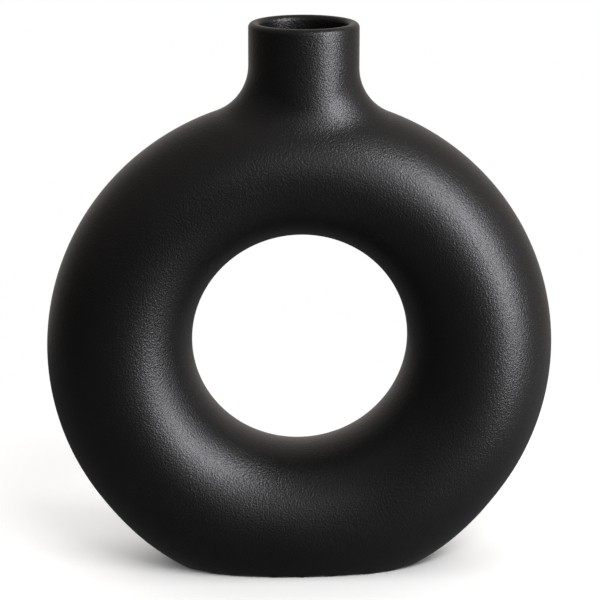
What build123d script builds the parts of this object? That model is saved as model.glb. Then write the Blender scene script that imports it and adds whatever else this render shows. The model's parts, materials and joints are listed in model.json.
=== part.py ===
"""Donut vase: a hollow stoneware ring with a neck and a flat foot, in a matt glaze.

The ring is two pressed half shells, luted together with slip. A neck collar sits on a flat seat
cut in the ring's crown, and a slab closes the flat cut under the ring. A thin glaze covers the
outside and the lip, and a liner glaze makes the inside watertight.

Millimetres, +Z up. The origin is the middle of the foot, on the table. The front faces -Y.
"""

import os
from math import cos, radians, sin

from build123d import *

# Ring, as glazed
hole_diameter = 85.6
tube_height_top = 54.0
tube_height_bottom = 61.0
tube_depth = 62.0
settled_bulge = 1.4
foot_cut = 11.3

# Neck and lip, as glazed
neck_diameter = 43.2
neck_wall = 4.35
neck_height = 29.4
neck_shift = 1.35
shoulder_radius = 19.5
lip_rounding = 2.05

# Clay
wall_thickness = 5.0
foot_thickness = 5.4
foot_rounding = 4.0
seat_depth = 1.2

# Slip and glazes
slip_thickness = 0.6
glaze_thickness = 0.4
liner_thickness = 0.4
glaze_run_in = 14.0
bare_foot_height = 0.6

# The tube's centre line is nearly a circle. It lies lower than the hole's centre, because the tube
# grows from its crown to its foot while the hole stays round. Its depth is the same all round.
tube_radius_mean = (tube_height_top + tube_height_bottom) / 4
tube_radius_swing = (tube_height_bottom - tube_height_top) / 4
line_radius = hole_diameter / 2 + tube_radius_mean
hole_height = tube_height_bottom + hole_diameter / 2 - foot_cut
line_height = hole_height - tube_radius_swing
line_top = line_height + line_radius
crown_height = hole_height + hole_diameter / 2 + tube_height_top

overall_height = crown_height + neck_height
mouth_radius = neck_diameter / 2 - neck_wall
glaze_end = overall_height - glaze_run_in

# The lip's two roundings leave a narrow flat ring between them on any wall.
LIP_SHARE = 0.48
lip_radius = min(lip_rounding, LIP_SHARE * neck_wall)

# The clay lies under the glaze, and the hollow lies under the clay.
clay_bore_radius = mouth_radius + glaze_thickness
hollow_inset = glaze_thickness + wall_thickness
seat_height = crown_height - glaze_thickness - seat_depth
half_slip = slip_thickness / 2
shell_base = foot_thickness + slip_thickness

# The ring is lofted in an upper and a lower half through oval sections, a step apart. It bulges
# outwards on each side of the foot, over a stretch where the soft ring settled on the table.
SECTION_STEP = 15
HALF_TURN = 180
FOOT_ANGLE = 270
SETTLED_STRETCH = 54


def section_bulge(angle):
    """How far the tube's outer side stands out beyond the plain ring at an angle."""
    share = abs(angle - FOOT_ANGLE) / SETTLED_STRETCH
    return settled_bulge * sin(radians(HALF_TURN * share)) ** 2 if share < 1 else 0


def section_radius(angle):
    """Half height of the glazed tube's oval at an angle: smallest at the crown, largest at the foot."""
    plain = tube_radius_mean - tube_radius_swing * sin(radians(angle))
    return plain + section_bulge(angle) / 2


def section_plane(angle):
    """Plane square to the tube's centre line, at an angle from the vase's right-hand side."""
    outward = Vector(cos(radians(angle)), 0, sin(radians(angle)))
    along = Vector(-sin(radians(angle)), 0, cos(radians(angle)))
    return Plane(
        origin=Vector(0, 0, line_height) + outward * (line_radius + section_bulge(angle) / 2),
        x_dir=(0, 1, 0),
        z_dir=along,
    )


def ring_tube(inset):
    """Whole ring as a solid tube, its surface moved in by inset."""
    with BuildPart() as ring:
        for start in (0, HALF_TURN):
            sections = []
            for angle in range(start, start + HALF_TURN + 1, SECTION_STEP):
                with BuildSketch(section_plane(angle)) as section:
                    Ellipse(tube_depth / 2 - inset, section_radius(angle) - inset)
                sections.append(section.sketch)
            loft(sections)
    return ring.part


def neck_plane(height):
    """Level plane centred on the neck, turned so that round walls start away from the seam."""
    return Plane(origin=(neck_shift, 0, height), x_dir=(1, 1, 0), z_dir=(0, 0, 1))


def outer_form(inset, bore_end):
    """Outside of the vase moved in by inset, with its mouth bored down to bore_end.

    The shoulder, the lip and the foot's edge keep their roundings concentric at every inset.
    """
    with BuildPart() as form:
        add(ring_tube(inset))
        with BuildSketch(neck_plane(line_top)):
            Circle(neck_diameter / 2 - inset)
        extrude(amount=overall_height - inset - line_top)
        fillet(form.edges(Select.NEW), radius=shoulder_radius + inset)
        with BuildSketch(neck_plane(bore_end)):
            Circle(mouth_radius + inset)
        extrude(amount=overall_height - bore_end, mode=Mode.SUBTRACT)
        lip_edges = form.faces().filter_by(GeomType.PLANE).sort_by(Axis.Z)[-1].edges()
        fillet(lip_edges, radius=lip_radius - inset)
        split(bisect_by=Plane.XY.offset(inset - glaze_thickness), keep=Keep.TOP)
        foot_edge = form.faces().filter_by(GeomType.PLANE).sort_by(Axis.Z)[0].edges()
        fillet(foot_edge, radius=foot_rounding + glaze_thickness - inset)
    return form.part


def hollow_form(inset, floor_height):
    """Space inside the ring, inset from the glazed outside and cut flat above the foot."""
    with BuildPart() as form:
        add(ring_tube(inset))
        split(bisect_by=Plane.XY.offset(floor_height), keep=Keep.TOP)
    return form.part


def throat_form(inset, floor_height, bore_radius, bore_top):
    """Space inside the ring with the round throat that leads up into the neck."""
    with BuildPart() as form:
        add(hollow_form(inset, floor_height))
        with BuildSketch(neck_plane(line_top)):
            Circle(bore_radius)
        extrude(amount=bore_top - line_top)
    return form.part


# All the clay in one form, which the clay pieces and the slip between them are cut from
with BuildPart() as clay:
    add(outer_form(glaze_thickness, line_top))
    add(hollow_form(hollow_inset, foot_thickness), mode=Mode.SUBTRACT)

# The ring between the foot slab and the neck's seat
with BuildPart() as ring_clay:
    add(clay.part)
    split(bisect_by=Plane.XY.offset(shell_base), keep=Keep.TOP)
    split(bisect_by=Plane.XY.offset(seat_height - half_slip), keep=Keep.BOTTOM)

# Front half of the ring
with BuildPart() as front_shell:
    add(ring_clay.part)
    split(bisect_by=Plane.XZ.offset(half_slip), keep=Keep.TOP)

# Rear half of the ring
with BuildPart() as rear_shell:
    add(ring_clay.part)
    split(bisect_by=Plane.XZ.offset(-half_slip), keep=Keep.BOTTOM)

# Slip between the halves: one strip down each side and one around the hole
with BuildPart() as seam:
    add(ring_clay.part)
    split(bisect_by=Plane.XZ.offset(half_slip), keep=Keep.BOTTOM)
    split(bisect_by=Plane.XZ.offset(-half_slip), keep=Keep.TOP)
seam_strips = seam.solids().sort_by(Axis.X)

with BuildPart() as left_seam_slip:
    add(seam_strips[0])

with BuildPart() as hole_seam_slip:
    add(seam_strips[1])

with BuildPart() as right_seam_slip:
    add(seam_strips[2])

# Neck with its flared skirt and rounded lip
with BuildPart() as neck_collar:
    add(clay.part)
    split(bisect_by=Plane.XY.offset(seat_height + half_slip), keep=Keep.TOP)

# Slip on the neck's seat
with BuildPart() as neck_slip:
    add(clay.part)
    split(bisect_by=Plane.XY.offset(seat_height + half_slip), keep=Keep.BOTTOM)
    split(bisect_by=Plane.XY.offset(seat_height - half_slip), keep=Keep.TOP)

# Slab that closes the ring's flat underside
with BuildPart() as foot_slab:
    add(clay.part)
    split(bisect_by=Plane.XY.offset(foot_thickness), keep=Keep.BOTTOM)

# Slip between the slab and the ring
with BuildPart() as foot_slip:
    add(clay.part)
    split(bisect_by=Plane.XY.offset(foot_thickness), keep=Keep.TOP)
    split(bisect_by=Plane.XY.offset(shell_base), keep=Keep.BOTTOM)

# Matt glaze over the outside and the lip, and a short way down inside the neck
with BuildPart() as glaze_coat:
    add(outer_form(0, glaze_end))
    add(outer_form(glaze_thickness, glaze_end), mode=Mode.SUBTRACT)
    split(bisect_by=Plane.XY.offset(bare_foot_height), keep=Keep.TOP)

# Watertight glaze inside the ring and the neck, up to where the outer glaze ends
with BuildPart() as liner_glaze:
    add(throat_form(hollow_inset, foot_thickness, clay_bore_radius, glaze_end))
    add(
        throat_form(
            hollow_inset + liner_thickness,
            foot_thickness + liner_thickness,
            clay_bore_radius - liner_thickness,
            overall_height,
        ),
        mode=Mode.SUBTRACT,
    )

pieces = {
    "front_shell": front_shell,
    "rear_shell": rear_shell,
    "neck_collar": neck_collar,
    "foot_slab": foot_slab,
    "left_seam_slip": left_seam_slip,
    "right_seam_slip": right_seam_slip,
    "hole_seam_slip": hole_seam_slip,
    "neck_slip": neck_slip,
    "foot_slip": foot_slip,
    "glaze_coat": glaze_coat,
    "liner_glaze": liner_glaze,
}

os.makedirs("parts", exist_ok=True)
for name, piece in pieces.items():
    piece.part.label = name
    export_step(piece.part, f"parts/{name}.step")
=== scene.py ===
"""Looks of a donut vase: a stoneware ring with a neck and a flat foot, in a matt black glaze.

The packed clay pieces stay as they are and get their finishes. The glaze over the outside is modelled
here as one smooth skin, which grows from the ring up over the shoulder, the neck and the lip.

Metres, +Z up. The origin is the middle of the foot, on the table, and the front faces -Y.
"""

import json
import logging
import math
from dataclasses import dataclass
from enum import Enum
from typing import Callable, Union

import bmesh
import bpy
from mathutils import Matrix, Vector


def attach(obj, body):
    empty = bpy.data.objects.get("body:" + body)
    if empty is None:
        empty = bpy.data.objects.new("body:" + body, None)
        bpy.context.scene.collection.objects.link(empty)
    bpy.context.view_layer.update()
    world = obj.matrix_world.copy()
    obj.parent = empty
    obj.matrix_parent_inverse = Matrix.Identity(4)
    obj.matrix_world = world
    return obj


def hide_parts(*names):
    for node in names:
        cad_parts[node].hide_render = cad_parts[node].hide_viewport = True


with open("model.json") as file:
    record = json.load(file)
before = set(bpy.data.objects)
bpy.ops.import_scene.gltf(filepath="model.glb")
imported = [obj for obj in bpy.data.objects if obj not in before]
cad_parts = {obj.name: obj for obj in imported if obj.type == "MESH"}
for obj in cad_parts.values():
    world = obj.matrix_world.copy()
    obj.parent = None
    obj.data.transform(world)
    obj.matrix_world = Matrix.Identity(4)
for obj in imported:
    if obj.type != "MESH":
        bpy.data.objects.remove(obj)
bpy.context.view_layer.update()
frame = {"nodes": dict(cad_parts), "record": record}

BODY = "root"
FULL_TURN = 2 * math.pi
TOP_ANGLE = math.pi / 2
FOOT_ANGLE = 3 * math.pi / 2
NEAREST_STEPS = 6
BISECT_STEPS = 48
NOISE_MIDDLE = 0.5
LOG = logging.getLogger("donut_vase")

Colour = tuple[float, float, float]
Value = Union[float, "Signal"]

WHITE: Colour = (1.0, 1.0, 1.0)
VIOLET_WHITE: Colour = (1.0, 0.985, 1.05)


class Slot(Enum):
    """Material slots of the record, one for each finish."""

    STONEWARE = "stoneware"
    LUTING_SLIP = "luting_slip"
    MATT_GLAZE = "matt_glaze"
    LINER_GLAZE = "liner_glaze"


class Signal:
    """A value that changes over a surface. Arithmetic on it adds Math nodes to its shader."""

    def __init__(self, shader: "Shader", socket: bpy.types.NodeSocket) -> None:
        """Wraps one output socket of a shader's node."""
        self.shader = shader
        self.socket = socket

    def _math(self, operation: str, first: Value, second: Value) -> "Signal":
        """Adds one Math node.

        Args:
            operation: The Math node's operation.
            first: Its first value.
            second: Its second value.

        Returns:
            The node's result.
        """
        node = self.shader.node("ShaderNodeMath", {"operation": operation}, {0: first, 1: second})
        return Signal(self.shader, node.outputs[0])

    def __add__(self, other: Value) -> "Signal":
        """Signal plus a value."""
        return self._math("ADD", self, other)

    def __radd__(self, other: Value) -> "Signal":
        """A value plus the signal."""
        return self._math("ADD", other, self)

    def __sub__(self, other: Value) -> "Signal":
        """Signal minus a value."""
        return self._math("SUBTRACT", self, other)

    def __rsub__(self, other: Value) -> "Signal":
        """A value minus the signal."""
        return self._math("SUBTRACT", other, self)

    def __mul__(self, other: Value) -> "Signal":
        """Signal times a value."""
        return self._math("MULTIPLY", self, other)

    def __rmul__(self, other: Value) -> "Signal":
        """A value times the signal."""
        return self._math("MULTIPLY", other, self)

    def __truediv__(self, other: Value) -> "Signal":
        """Signal over a value."""
        return self._math("DIVIDE", self, other)


class Shader:
    """Node tree of one material or of the room."""

    def __init__(self, owner: Union[bpy.types.Material, bpy.types.World]) -> None:
        """Starts an empty node tree.

        Args:
            owner: What the nodes belong to.
        """
        owner.use_nodes = True
        self.tree = owner.node_tree
        self.tree.nodes.clear()

    def node(self, kind: str, settings: dict | None = None, sockets: dict | None = None) -> bpy.types.Node:
        """Adds a node of any type.

        Args:
            kind: The node's type.
            settings: The node's own settings by name; "stops" holds a colour ramp's stops.
            sockets: Values, signals or sockets for its inputs, by name or by number.

        Returns:
            The new node.
        """
        node = self.tree.nodes.new(kind)
        for name, value in (settings or {}).items():
            if name == "stops":
                self._set_stops(node.color_ramp, value)
            else:
                setattr(node, name, value)
        for name, value in (sockets or {}).items():
            if isinstance(value, Signal):
                value = value.socket
            if isinstance(value, bpy.types.NodeSocket):
                self.tree.links.new(value, node.inputs[name])
            else:
                node.inputs[name].default_value = value
        return node

    @staticmethod
    def _set_stops(ramp: bpy.types.ColorRamp, stops: list[tuple[float, float]]) -> None:
        """Gives a colour ramp grey stops.

        Args:
            ramp: The ramp.
            stops: Each stop's place and grey level, in order.
        """
        while len(ramp.elements) < len(stops):
            ramp.elements.new(1.0)
        for element, (place, level) in zip(ramp.elements, stops):
            element.position = place
            element.color = (level, level, level, 1.0)

    def place(self) -> bpy.types.NodeSocket:
        """Object coordinates, which on every piece of the vase are its real place in metres."""
        return self.node("ShaderNodeTexCoord").outputs["Object"]

    def noise(self, size: float, detail: float = 2.0, roughness: float = 0.5, warp: float = 0.0) -> Signal:
        """Cloudy pattern.

        Args:
            size: How far apart its lumps are, in metres.
            detail: How many finer layers it has.
            roughness: How strong the finer layers are.
            warp: How far it is distorted.

        Returns:
            Values about 0.5.
        """
        sockets = {"Vector": self.place(), "Scale": 1 / size, "Detail": detail}
        sockets.update({"Roughness": roughness, "Distortion": warp})
        return Signal(self, self.node("ShaderNodeTexNoise", None, sockets).outputs["Fac"])

    def cells(self, size: float, smoothness: float) -> Signal:
        """Pebbled pattern.

        Args:
            size: How far apart the pebbles are, in metres.
            smoothness: How softly they meet, from 0 to 1.

        Returns:
            Distance from the nearest pebble's middle, in pebbles.
        """
        sockets = {"Vector": self.place(), "Scale": 1 / size, "Smoothness": smoothness}
        node = self.node("ShaderNodeTexVoronoi", {"feature": "SMOOTH_F1"}, sockets)
        return Signal(self, node.outputs["Distance"])

    def axes(self, vector: bpy.types.NodeSocket) -> list[Signal]:
        """Takes a vector apart into its three values."""
        node = self.node("ShaderNodeSeparateXYZ", None, {"Vector": vector})
        return [Signal(self, output) for output in node.outputs]

    def ramp(self, signal: Signal, stops: list[tuple[float, float]]) -> Signal:
        """Reshapes a signal with a colour ramp of grey stops."""
        node = self.node("ShaderNodeValToRGB", {"stops": stops}, {"Fac": signal})
        return Signal(self, node.outputs["Color"])

    def rise(self, signal: Signal, start: float = 0.0, end: float = 1.0) -> Signal:
        """Reshapes a signal so that it is 0 up to a start, 1 from an end, and rises evenly between."""
        return self.ramp(signal, [(start, 0.0), (end, 1.0)])

    def mix(self, share: Signal, first: Union[Colour, Signal], second: Union[Colour, Signal]) -> Signal:
        """Blends two colours.

        Args:
            share: How much of the second colour shows.
            first: Colour where the share is 0.
            second: Colour where the share is 1.

        Returns:
            The blended colour.
        """
        colours = [(*colour, 1.0) if isinstance(colour, tuple) else colour for colour in (first, second)]
        node = self.node("ShaderNodeMix", {"data_type": "RGBA"}, {0: share, 6: colours[0], 7: colours[1]})
        return Signal(self, node.outputs[2])

    def bump(self, height: Signal, depth: float) -> bpy.types.NodeSocket:
        """Surface normal over small bumps.

        Args:
            height: The bumps' height, from 0 to 1.
            depth: What a height of 1 measures, in metres.

        Returns:
            The normal for a surface shader.
        """
        sockets = {"Height": height, "Distance": depth, "Strength": 1.0}
        return self.node("ShaderNodeBump", None, sockets).outputs["Normal"]

    def ray(self, kind: str) -> Signal:
        """1 where a ray of a kind, such as a camera ray, meets the surface, and 0 elsewhere."""
        return Signal(self, self.node("ShaderNodeLightPath").outputs[f"Is {kind} Ray"])

    def surface(self, sockets: dict) -> None:
        """Finishes a material with one Principled surface, from its values, signals and sockets by name."""
        surface = self.node("ShaderNodeBsdfPrincipled", None, sockets)
        self.node("ShaderNodeOutputMaterial", None, {"Surface": surface.outputs[0]})


@dataclass(frozen=True)
class MattGlaze:
    """Matt black glaze with a fine leathery grain and faint dusty clouds."""

    black: Colour = (0.0012, 0.0012, 0.0013)
    dusty: Colour = (0.0022, 0.0021, 0.0023)
    cloud_size: float = 0.030
    grain_size: float = 0.00078
    pebble_size: float = 0.00064
    pebble_softness: float = 0.6
    grain_share: float = 0.65
    grain_depth: float = 0.00021
    dust_in_clouds: float = 0.6
    dust_from: float = 0.42
    dust_full: float = 0.62
    refraction: float = 1.68
    roughness: float = 0.39
    roughness_swing: float = 0.10

    def material(self) -> bpy.types.Material:
        """Makes the glaze's material."""
        material = bpy.data.materials.new("matt_glaze")
        shader = Shader(material)
        clouds = shader.noise(self.cloud_size, detail=4.0, roughness=0.6)
        grain = shader.noise(self.grain_size, detail=2.0, roughness=0.55, warp=0.4)
        pebbles = shader.cells(self.pebble_size, self.pebble_softness)
        leather = self.grain_share * grain + (1 - self.grain_share) * pebbles
        dusty_spots = clouds * self.dust_in_clouds + grain * (1 - self.dust_in_clouds)
        dust = shader.rise(dusty_spots, self.dust_from, self.dust_full)
        shader.surface({
            "Base Color": shader.mix(dust, self.black, self.dusty),
            "Roughness": self.roughness + self.roughness_swing * (clouds - NOISE_MIDDLE),
            "IOR": self.refraction,
            "Normal": shader.bump(leather, self.grain_depth),
        })
        return material


@dataclass(frozen=True)
class LinerGlaze:
    """Satin black glaze inside the vase, pooled a little unevenly."""

    black: Colour = (0.006, 0.006, 0.0065)
    thin: Colour = (0.012, 0.011, 0.011)
    pool_size: float = 0.016
    ripple_size: float = 0.004
    ripple_depth: float = 0.00012
    thin_from: float = 0.40
    thin_full: float = 0.65
    refraction: float = 1.5
    roughness: float = 0.30
    roughness_swing: float = 0.12

    def material(self) -> bpy.types.Material:
        """Makes the liner's material."""
        material = bpy.data.materials.new("liner_glaze")
        shader = Shader(material)
        pools = shader.noise(self.pool_size, detail=3.0)
        ripples = shader.noise(self.ripple_size, detail=1.0)
        thinness = shader.rise(pools, self.thin_from, self.thin_full)
        shader.surface({
            "Base Color": shader.mix(thinness, self.black, self.thin),
            "Roughness": self.roughness + self.roughness_swing * (pools - NOISE_MIDDLE),
            "IOR": self.refraction,
            "Normal": shader.bump(ripples, self.ripple_depth),
        })
        return material


@dataclass(frozen=True)
class Stoneware:
    """Bare dark stoneware, sandy to the touch, with pale grog specks."""

    clay: Colour = (0.030, 0.027, 0.025)
    worn: Colour = (0.055, 0.050, 0.046)
    speck: Colour = (0.14, 0.125, 0.11)
    cloud_size: float = 0.022
    sand_size: float = 0.0006
    speck_size: float = 0.0022
    speck_softness: float = 0.1
    speck_core: float = 0.10
    speck_edge: float = 0.17
    speck_share: float = 0.7
    speck_relief: float = 0.5
    sand_depth: float = 0.00016
    worn_from: float = 0.35
    worn_full: float = 0.68
    roughness: float = 0.86
    worn_smoothness: float = 0.12

    def material(self) -> bpy.types.Material:
        """Makes the clay's material."""
        material = bpy.data.materials.new("stoneware")
        shader = Shader(material)
        clouds = shader.noise(self.cloud_size, detail=5.0, roughness=0.62)
        wear = shader.rise(clouds, self.worn_from, self.worn_full)
        sand = shader.noise(self.sand_size, detail=2.0, roughness=0.6)
        grog = shader.cells(self.speck_size, self.speck_softness)
        specks = shader.ramp(grog, [(self.speck_core, 1.0), (self.speck_edge, 0.0)])
        body = shader.mix(wear, self.clay, self.worn)
        shader.surface({
            "Base Color": shader.mix(specks * self.speck_share, body, self.speck),
            "Roughness": self.roughness - self.worn_smoothness * wear,
            "Normal": shader.bump(sand + self.speck_relief * specks, self.sand_depth),
        })
        return material


@dataclass(frozen=True)
class LutingSlip:
    """Fired slip between the clay pieces, smeared and a little paler than the clay."""

    slip: Colour = (0.040, 0.036, 0.033)
    dry: Colour = (0.070, 0.064, 0.058)
    smear_size: float = 0.006
    crumb_size: float = 0.0009
    crumb_depth: float = 0.00014
    dry_from: float = 0.38
    dry_full: float = 0.64
    roughness: float = 0.80
    dry_roughness: float = 0.12

    def material(self) -> bpy.types.Material:
        """Makes the slip's material."""
        material = bpy.data.materials.new("luting_slip")
        shader = Shader(material)
        smears = shader.noise(self.smear_size, detail=3.0, warp=1.2)
        dryness = shader.rise(smears, self.dry_from, self.dry_full)
        crumbs = shader.noise(self.crumb_size, detail=2.0, roughness=0.6)
        shader.surface({
            "Base Color": shader.mix(dryness, self.slip, self.dry),
            "Roughness": self.roughness + self.dry_roughness * dryness,
            "Normal": shader.bump(crumbs, self.crumb_depth),
        })
        return material


FINISHES = {
    Slot.STONEWARE: Stoneware(),
    Slot.LUTING_SLIP: LutingSlip(),
    Slot.MATT_GLAZE: MattGlaze(),
    Slot.LINER_GLAZE: LinerGlaze(),
}


@dataclass
class Ring:
    """The ring's tube, as glazed: its centre line and its thickness all the way round."""

    hole_diameter: float = 0.0856
    tube_height_top: float = 0.0540
    tube_height_bottom: float = 0.0610
    tube_depth: float = 0.0620
    settled_bulge: float = 0.0014
    settled_stretch: float = math.radians(54)
    foot_cut: float = 0.0113

    @property
    def mean_radius(self) -> float:
        """Half height of the tube's oval at the ring's sides."""
        return (self.tube_height_top + self.tube_height_bottom) / 4

    @property
    def radius_swing(self) -> float:
        """How much thinner the tube is at the crown, and thicker at the foot, than at its sides."""
        return (self.tube_height_bottom - self.tube_height_top) / 4

    @property
    def line_radius(self) -> float:
        """Radius of the tube's centre line."""
        return self.hole_diameter / 2 + self.mean_radius

    @property
    def hole_height(self) -> float:
        """Height of the hole's centre above the table."""
        return self.tube_height_bottom + self.hole_diameter / 2 - self.foot_cut

    @property
    def middle(self) -> Vector:
        """Centre of the tube's centre line."""
        return Vector((0, 0, self.hole_height - self.radius_swing))

    @property
    def crown_height(self) -> float:
        """Height of the ring's top, where the neck stands."""
        return self.hole_height + self.hole_diameter / 2 + self.tube_height_top

    def angle(self, point: Vector) -> float:
        """Angle of a point around the ring, from its right-hand side."""
        return math.atan2(point.z - self.middle.z, point.x) % FULL_TURN

    def bulge(self, angle: float) -> float:
        """How far the tube's outer side stands out where the soft ring settled beside its foot."""
        share = abs(angle - FOOT_ANGLE) / self.settled_stretch
        return self.settled_bulge * math.sin(math.pi * share) ** 2 if share < 1 else 0.0

    def outward(self, angle: float) -> Vector:
        """Direction from the ring's middle at an angle."""
        return Vector((math.cos(angle), 0, math.sin(angle)))

    def line_point(self, angle: float) -> Vector:
        """Point of the tube's centre line at an angle."""
        return self.middle + self.outward(angle) * (self.line_radius + self.bulge(angle) / 2)

    def tube_radius(self, angle: float) -> float:
        """Half height of the tube's oval at an angle. Its depth is the same all round."""
        return self.mean_radius - self.radius_swing * math.sin(angle) + self.bulge(angle) / 2

    def side(self, point: Vector) -> float:
        """Angle of a point around the tube, from its outer side."""
        outward = (point - self.middle).dot(self.outward(self.angle(point))) - self.line_radius
        return math.atan2(point.y, outward)

    def settle(self, point: Vector) -> Vector:
        """Moves a point along the line from the tube's middle onto the tube's surface."""
        angle = self.angle(point)
        centre = self.line_point(angle)
        outward = (point - centre).dot(self.outward(angle))
        reach = math.hypot(outward / self.tube_radius(angle), point.y / (self.tube_depth / 2))
        return centre + (point - centre) / reach

    def nearest(self, point: Vector) -> Vector:
        """The point of the tube's surface that is nearest to a point outside it.

        Args:
            point: A point outside the tube.

        Returns:
            The nearest point of the oval section at the point's angle.
        """
        angle = self.angle(point)
        centre = self.line_point(angle)
        wide, deep = self.tube_radius(angle), self.tube_depth / 2
        outward, forward = (point - centre).dot(self.outward(angle)), point.y
        turn = math.atan2(wide * forward, deep * outward)
        # Each step swings about the centre of the oval's curvature until it points at the point.
        for _ in range(NEAREST_STEPS):
            x, y = wide * math.cos(turn), deep * math.sin(turn)
            hub_x = (wide**2 - deep**2) * math.cos(turn) ** 3 / wide
            hub_y = (deep**2 - wide**2) * math.sin(turn) ** 3 / deep
            arm, aim = Vector((x - hub_x, y - hub_y)), Vector((outward - hub_x, forward - hub_y))
            swing = math.asin(arm.normalized().cross(aim.normalized()))
            turn += arm.length * swing / math.sqrt(wide**2 + deep**2 - x**2 - y**2)
        return centre + self.outward(angle) * (wide * math.cos(turn)) + Vector((0, deep * math.sin(turn), 0))


@dataclass
class Neck:
    """The neck and its lip, as glazed."""

    diameter: float = 0.0432
    wall: float = 0.00435
    height: float = 0.0294
    shift: float = 0.00135
    shoulder_radius: float = 0.0195
    lip_radius: float = 0.00205
    glaze_run_in: float = 0.0140

    def around(self, turn: float, radius: float, height: float) -> Vector:
        """Point at a turn about the neck's axis, at a distance from it and a height."""
        return Vector((self.shift + radius * math.cos(turn), radius * math.sin(turn), height))

    def turn(self, point: Vector) -> float:
        """Angle of a point about the neck's axis."""
        return math.atan2(point.y, point.x - self.shift) % FULL_TURN


@dataclass
class GlazeCoat:
    """Glaze over the outside and the lip, as one skin with a real thickness."""

    ring: Ring
    neck: Neck
    thickness: float = 0.0004
    bare_foot_height: float = 0.0006
    sections: int = 240
    tube_sides: int = 112
    opening_angle: float = math.radians(24.5)
    opening_side: float = math.radians(70)
    apron_rows: int = 6
    shoulder_rows: int = 14
    wall_rows: int = 6
    lip_rows: int = 8
    inner_rows: int = 5
    wiped_edge: float = 0.00012
    wiped_waves: tuple[tuple[int, float], ...] = ((5, 1.0), (13, 0.0), (29, 0.0))
    rolled_share: float = 1 / 3
    rolled_segments: int = 3
    rolled_angle: float = math.radians(50)

    def build(self) -> bpy.types.Object:
        """Models the skin.

        Returns:
            The finished piece, still without its material.
        """
        coat = self._ring_tube()
        columns = self._open_crown()
        self._grow_neck(columns)
        self._wipe_foot()
        bpy.ops.object.mode_set(mode="OBJECT")
        self._thicken(coat)
        return coat

    def _ring_tube(self) -> bpy.types.Object:
        """Adds a torus and sizes each of its sections, which leaves it in edit mode."""
        ring = self.ring
        bpy.ops.object.select_all(action="DESELECT")
        bpy.ops.mesh.primitive_torus_add(
            location=ring.middle,
            rotation=(math.pi / 2, 0, 0),
            major_radius=ring.line_radius,
            minor_radius=ring.mean_radius,
            major_segments=self.sections,
            minor_segments=self.tube_sides,
        )
        coat = bpy.context.object
        coat.name = coat.data.name = "glaze_skin"
        bpy.ops.object.transform_apply(location=True, rotation=True, scale=True)
        bpy.ops.object.mode_set(mode="EDIT")
        mesh = bmesh.from_edit_mesh(coat.data)
        for vertex in mesh.verts:
            vertex.co = ring.settle(vertex.co)
        bmesh.update_edit_mesh(coat.data)
        return coat

    def _open_crown(self) -> list[tuple[float, Vector]]:
        """Cuts the opening that the neck grows from, and numbers the vertices of its edge.

        Returns:
            Each edge vertex's turn about the neck and its place, in order round the neck.
        """
        bpy.ops.mesh.select_all(action="DESELECT")
        data = bpy.context.object.data
        mesh = bmesh.from_edit_mesh(data)
        for face in mesh.faces:
            centre = face.calc_center_median()
            near_crown = abs(self.ring.angle(centre) - TOP_ANGLE) < self.opening_angle
            face.select_set(near_crown and abs(self.ring.side(centre)) < self.opening_side)
        bmesh.update_edit_mesh(data)
        bpy.ops.mesh.delete(type="FACE")
        bpy.ops.mesh.select_mode(type="EDGE")
        bpy.ops.mesh.select_non_manifold(extend=False, use_wire=False, use_multi_face=False, use_verts=False)
        mesh = bmesh.from_edit_mesh(data)
        column = mesh.verts.layers.int.new("column")
        edge = sorted((vertex for vertex in mesh.verts if vertex.select), key=lambda v: self.neck.turn(v.co))
        for number, vertex in enumerate(edge):
            vertex[column] = number
        columns = [(self.neck.turn(vertex.co), vertex.co.copy()) for vertex in edge]
        bmesh.update_edit_mesh(data)
        return columns

    def _extrude_row(self, place: Callable[[int], Vector]) -> None:
        """Extrudes the selected edge loop by one row and puts its vertices in place.

        Args:
            place: Gives a vertex's place from its column's number.
        """
        bpy.ops.mesh.extrude_region()
        data = bpy.context.object.data
        mesh = bmesh.from_edit_mesh(data)
        column = mesh.verts.layers.int["column"]
        for vertex in mesh.verts:
            if vertex.select:
                vertex.co = place(vertex[column])
        bmesh.update_edit_mesh(data)

    def _rolled_corner(self, turn: float) -> tuple[Vector, Vector, Vector]:
        """The ball that lies in the corner between the neck and the ring, at a turn about the neck.

        Args:
            turn: Angle about the neck's axis.

        Returns:
            The ball's centre, and the points where it touches the ring and the neck.
        """
        ring, neck = self.ring, self.neck
        radius = neck.shoulder_radius
        low, high = ring.crown_height - ring.tube_height_top, ring.crown_height + radius
        for _ in range(BISECT_STEPS):
            centre = neck.around(turn, neck.diameter / 2 + radius, (low + high) / 2)
            if (centre - ring.nearest(centre)).length > radius:
                high = centre.z
            else:
                low = centre.z
        return centre, ring.nearest(centre), neck.around(turn, neck.diameter / 2, centre.z)

    def _grow_neck(self, columns: list[tuple[float, Vector]]) -> None:
        """Extrudes the opening's edge over the ring, up the shoulder and the neck, and over the lip.

        Args:
            columns: Each column's turn about the neck and its place on the opening's edge.
        """
        neck, count = self.neck, len(columns)
        drift = sum(turn - FULL_TURN * number / count for number, (turn, _) in enumerate(columns)) / count
        turns = [drift + FULL_TURN * number / count for number in range(count)]
        corners = [self._rolled_corner(turn) for turn in turns]
        for row in range(1, self.apron_rows + 1):
            share = row / self.apron_rows
            self._extrude_row(lambda n: self.ring.settle(columns[n][1].lerp(corners[n][1], share)))
        for row in range(1, self.shoulder_rows + 1):
            share = row / self.shoulder_rows
            self._extrude_row(lambda n: self._shoulder_point(corners[n], share))
        top = self.ring.crown_height + neck.height
        rims = [neck.around(turn, neck.diameter / 2, top - neck.lip_radius) for turn in turns]
        for row in range(1, self.wall_rows + 1):
            share = row / self.wall_rows
            self._extrude_row(lambda n: corners[n][2].lerp(rims[n], share))
        for radius, height in self._lip_profile(top):
            self._extrude_row(lambda n: neck.around(turns[n], radius, height))

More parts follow.
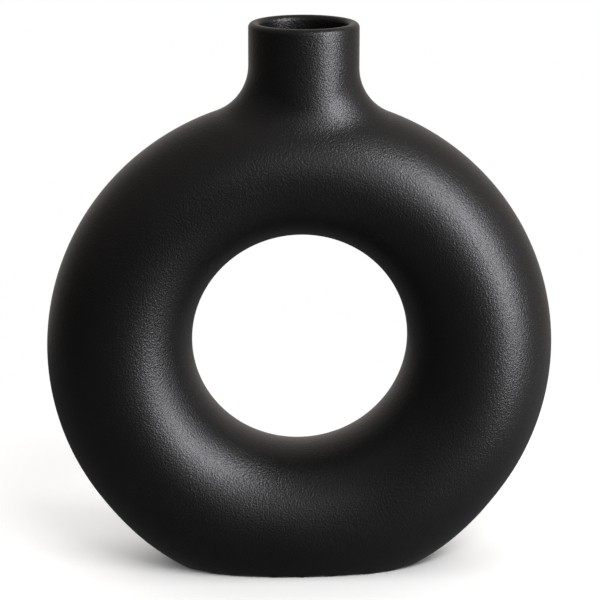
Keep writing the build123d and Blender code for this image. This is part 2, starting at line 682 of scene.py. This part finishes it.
    def _shoulder_point(self, corner: tuple[Vector, Vector, Vector], share: float) -> Vector:
        """Point of the shoulder's rolled hollow.

        Args:
            corner: The ball's centre and its touching points.
            share: 0 on the ring and 1 on the neck.

        Returns:
            The point.
        """
        centre, on_ring, on_neck = corner
        radius = (on_neck - centre).length
        return centre + (on_ring - centre).slerp(on_neck - centre, share) * radius

    def _lip_profile(self, top: float) -> list[tuple[float, float]]:
        """Radius and height of each row over the lip and down inside the neck.

        Args:
            top: Height of the lip's top.

        Returns:
            The rows' radii and heights, from the outside in.
        """
        neck = self.neck
        outer, inner = neck.diameter / 2, neck.diameter / 2 - neck.wall
        rows = []
        quarter = math.pi / 2
        for centre, first in ((outer - neck.lip_radius, 0.0), (inner + neck.lip_radius, quarter)):
            for row in range(self.lip_rows + 1):
                angle = first + quarter * row / self.lip_rows
                radius = centre + neck.lip_radius * math.cos(angle)
                rows.append((radius, top - neck.lip_radius + neck.lip_radius * math.sin(angle)))
        start, end = rows[-1][1], top - neck.glaze_run_in
        for row in range(1, self.inner_rows + 1):
            rows.append((inner, start + (end - start) * row / self.inner_rows))
        # The neck's wall already ends on the first row.
        return rows[1:]

    def _wipe_foot(self) -> None:
        """Cuts the skin off just above the table and makes its edge as uneven as a wiped one."""
        bpy.ops.mesh.select_all(action="SELECT")
        bpy.ops.mesh.bisect(plane_co=(0, 0, self.bare_foot_height), plane_no=(0, 0, 1), clear_inner=True)
        data = bpy.context.object.data
        mesh = bmesh.from_edit_mesh(data)
        for vertex in mesh.verts:
            if vertex.is_boundary and vertex.co.z < self.ring.foot_cut:
                turn = math.atan2(vertex.co.y, vertex.co.x)
                waves = sum(math.sin(count * turn + phase) for count, phase in self.wiped_waves)
                vertex.co.z += self.wiped_edge * waves
        bmesh.update_edit_mesh(data)

    def _thicken(self, coat: bpy.types.Object) -> None:
        """Gives the skin its thickness inwards, rolls its two edges and shades it smooth."""
        bpy.context.view_layer.objects.active = coat
        solidify = coat.modifiers.new("thickness", "SOLIDIFY")
        solidify.thickness = self.thickness
        solidify.offset = -1
        bpy.ops.object.modifier_apply(modifier=solidify.name)
        bevel = coat.modifiers.new("rolled_edges", "BEVEL")
        bevel.width = self.thickness * self.rolled_share
        bevel.segments = self.rolled_segments
        bevel.limit_method = "ANGLE"
        bevel.angle_limit = self.rolled_angle
        bpy.ops.object.modifier_apply(modifier=bevel.name)
        bpy.ops.object.shade_smooth()

    def dress(self, coat: bpy.types.Object, materials: dict[Slot, bpy.types.Material]) -> None:
        """Gives the skin its glaze and puts it in the frame.

        Args:
            coat: The modelled skin.
            materials: Every slot's material.
        """
        coat.data.materials.append(materials[Slot.MATT_GLAZE])
        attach(coat, BODY)
        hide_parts("glaze_coat")


def direction(azimuth: float, elevation: float) -> Vector:
    """Direction from the vase to a place round it.

    Args:
        azimuth: Angle from the front towards the right-hand side.
        elevation: Angle above the table.

    Returns:
        The direction, of length 1.
    """
    level = math.cos(elevation)
    return Vector((math.sin(azimuth) * level, -math.cos(azimuth) * level, math.sin(elevation)))


class ClayBody:
    """The packed clay, slip and liner pieces, which keep their own shapes."""

    def dress(self, materials: dict[Slot, bpy.types.Material]) -> None:
        """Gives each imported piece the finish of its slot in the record.

        Args:
            materials: Every slot's material.
        """
        for subpart in frame["record"]["subparts"]:
            node = frame["nodes"][subpart["node"]]
            node.data.materials.clear()
            node.data.materials.append(materials[Slot(subpart["material_slot"])])
            LOG.info("dressed %s in %s", subpart["node"], subpart["material_slot"])


class Lights(Enum):
    """What a lamp shines on."""

    VASE = "vase"
    FLOOR = "floor"


@dataclass(frozen=True)
class SoftLamp:
    """A rectangle of soft light that faces the vase."""

    name: str
    azimuth: float
    elevation: float
    distance: float
    width: float
    height: float
    brightness: float
    lights: Lights
    colour: Colour = WHITE

    def build(self, aim: Vector, floor: bpy.types.Object) -> None:
        """Hangs the lamp.

        Args:
            aim: What it points at.
            floor: The table, which is the only thing that it lights or the only one that it leaves out.
        """
        lamp = bpy.data.lights.new(self.name, "AREA")
        lamp.shape = "RECTANGLE"
        lamp.size, lamp.size_y = self.width, self.height
        lamp.energy = self.brightness * math.pi * self.width * self.height
        lamp.color = self.colour
        holder = bpy.data.objects.new(self.name, lamp)
        towards = direction(self.azimuth, self.elevation)
        holder.location = aim + towards * self.distance
        holder.rotation_euler = towards.to_track_quat("Z", "Y").to_euler()
        holder.visible_camera = False
        bpy.context.scene.collection.objects.link(holder)
        lit = bpy.data.collections.new(self.name)
        lit.objects.link(floor)
        state = "INCLUDE" if self.lights is Lights.FLOOR else "EXCLUDE"
        lit.collection_objects[0].light_linking.link_state = state
        holder.light_linking.receiver_collection = lit


@dataclass
class Studio:
    """White table before a white backdrop in a dim room, with a tall soft lamp for the vase.

    The table is small, so that the glaze mirrors the tall lamp past the table's edge as well.
    """

    floor_size: float = 0.70
    floor_white: float = 0.9
    shadow_reach: float = 0.15
    white_from: float = 0.30
    # Levels of the painted white that the glaze mirrors in the table; the glow part is a painted pool of
    # lamp light towards the right.
    reflected_white: float = 0.08
    painted_lamp_glow: float = 0.28
    room_level: float = 0.05
    backdrop_level: float = 0.60
    right_level: float = 0.20
    ceiling_level: float = 0.15
    room_tint: Colour = (1.08, 1.0, 0.95)
    lamps: tuple[SoftLamp, ...] = (
        SoftLamp(
            "key_lamp", azimuth=math.radians(53), elevation=math.radians(17), distance=1.3,
            width=0.31, height=1.46, brightness=12.0, lights=Lights.VASE, colour=VIOLET_WHITE,
        ),
        SoftLamp(
            "fill_lamp", azimuth=math.radians(14), elevation=math.radians(26), distance=1.3,
            width=0.8, height=0.5, brightness=0.6, lights=Lights.VASE, colour=VIOLET_WHITE,
        ),
        SoftLamp(
            "table_lamp", azimuth=math.radians(28), elevation=math.radians(42), distance=1.4,
            width=1.0, height=0.15, brightness=24.0, lights=Lights.FLOOR,
        ),
        SoftLamp(
            "table_sky", azimuth=0.0, elevation=math.radians(90), distance=1.4,
            width=9.0, height=9.0, brightness=0.98, lights=Lights.FLOOR,
        ),
    )

    def build(self, aim: Vector) -> None:
        """Sets the floor, the room's light and the lamps.

        Args:
            aim: What the lamps point at.
        """
        floor = self._floor()
        self._room()
        for lamp in self.lamps:
            lamp.build(aim, floor)

    def _floor(self) -> bpy.types.Object:
        """Adds the table top that the vase stands on."""
        bpy.ops.object.select_all(action="DESELECT")
        bpy.ops.mesh.primitive_plane_add(size=self.floor_size)
        floor = bpy.context.object
        floor.name = "floor"
        floor.data.materials.append(self._floor_material())
        return floor

    def _floor_material(self) -> bpy.types.Material:
        """Makes the table's white: lit near the vase, plain further off, and in the glaze a dimmer painted
        white that grows brighter towards the right as a painted pool of lamp light.

        Returns:
            The material.
        """
        material = bpy.data.materials.new("white_floor")
        shader = Shader(material)
        length = shader.node("ShaderNodeVectorMath", {"operation": "LENGTH"}, {0: shader.place()})
        beyond_shadow = Signal(shader, length.outputs["Value"]) - self.shadow_reach
        far = shader.rise(beyond_shadow / (self.white_from - self.shadow_reach))
        seen, mirrored = shader.ray("Camera"), shader.ray("Glossy")
        # Painted light: what the glaze mirrors of the table is a set glow, not its lit white, and it
        # brightens towards the right as a painted pool of lamp light.
        right = shader.rise(shader.axes(shader.place())[0] / (self.floor_size / 2))
        painted_reflection = self.reflected_white + self.painted_lamp_glow * right
        white = (self.floor_white, self.floor_white, self.floor_white, 1.0)
        lit = shader.node("ShaderNodeBsdfDiffuse", None, {"Color": white}).outputs[0]
        plain = shader.node("ShaderNodeEmission", None, {"Color": seen + mirrored * painted_reflection}).outputs[0]
        mixed = shader.node("ShaderNodeMixShader", None, {0: seen * far + mirrored, 1: lit, 2: plain})
        shader.node("ShaderNodeOutputMaterial", None, {"Surface": mixed.outputs[0]})
        return material

    def _room(self) -> None:
        """Lights the room from its backdrop, its right and its ceiling, and shows it white to the camera."""
        world = bpy.data.worlds.new("room")
        bpy.context.scene.world = world
        shader = Shader(world)
        towards = shader.node("ShaderNodeTexCoord").outputs["Generated"]
        right, behind, above = (shader.rise(axis) for axis in shader.axes(towards))
        # The backdrop is brightest straight behind the vase and fades quickly to its sides.
        backdrop = behind * behind * behind * behind
        level = self.room_level + self.backdrop_level * backdrop
        level = level + self.right_level * right + self.ceiling_level * above
        seen = shader.ray("Camera")
        sockets = {"Color": shader.mix(seen, self.room_tint, WHITE), "Strength": seen + (1.0 - seen) * level}
        light = shader.node("ShaderNodeBackground", None, sockets)
        shader.node("ShaderNodeOutputWorld", None, {"Surface": light.outputs[0]})


@dataclass
class PhotoCamera:
    """Camera at the photograph's viewing angle."""

    azimuth: float = math.radians(-2.838)
    elevation: float = math.radians(15.163)
    roll: float = math.radians(0.085)
    distance: float = 1.07165
    lens: float = 161.567
    sensor_width: float = 36.0
    clip_start: float = 0.05
    aim_above_hole: float = 0.01485

    def build(self, hole: Vector) -> None:
        """Adds the camera and makes it the scene's own.

        Args:
            hole: Centre of the vase's hole.
        """
        back = direction(self.azimuth, self.elevation)
        right = Vector((0, 0, 1)).cross(back).normalized()
        place = hole + back * self.distance
        look = (place - hole - back.cross(right) * self.aim_above_hole).normalized()
        turn = look.to_track_quat("Z", "Y").to_matrix() @ Matrix.Rotation(self.roll, 3, "Z")
        lens = bpy.data.cameras.new("camera")
        lens.lens = self.lens
        lens.sensor_width = self.sensor_width
        lens.clip_start = self.clip_start
        camera = bpy.data.objects.new("camera", lens)
        camera.location = place
        camera.rotation_euler = turn.to_euler()
        bpy.context.scene.collection.objects.link(camera)
        bpy.context.scene.camera = camera


def main() -> None:
    """Dresses the vase and sets it in its studio."""
    logging.basicConfig(level=logging.INFO, format="%(name)s: %(message)s")
    bpy.context.scene.view_settings.view_transform = "Standard"
    materials = {slot: finish.material() for slot, finish in FINISHES.items()}
    ring, neck = Ring(), Neck()
    ClayBody().dress(materials)
    glaze_coat = GlazeCoat(ring, neck)
    coat = glaze_coat.build()
    glaze_coat.dress(coat, materials)
    LOG.info("built %s with %d faces", coat.name, len(coat.data.polygons))
    hole = Vector((0, 0, ring.hole_height))
    Studio().build(hole)
    PhotoCamera().build(hole)


if __name__ == "__main__":
    main()
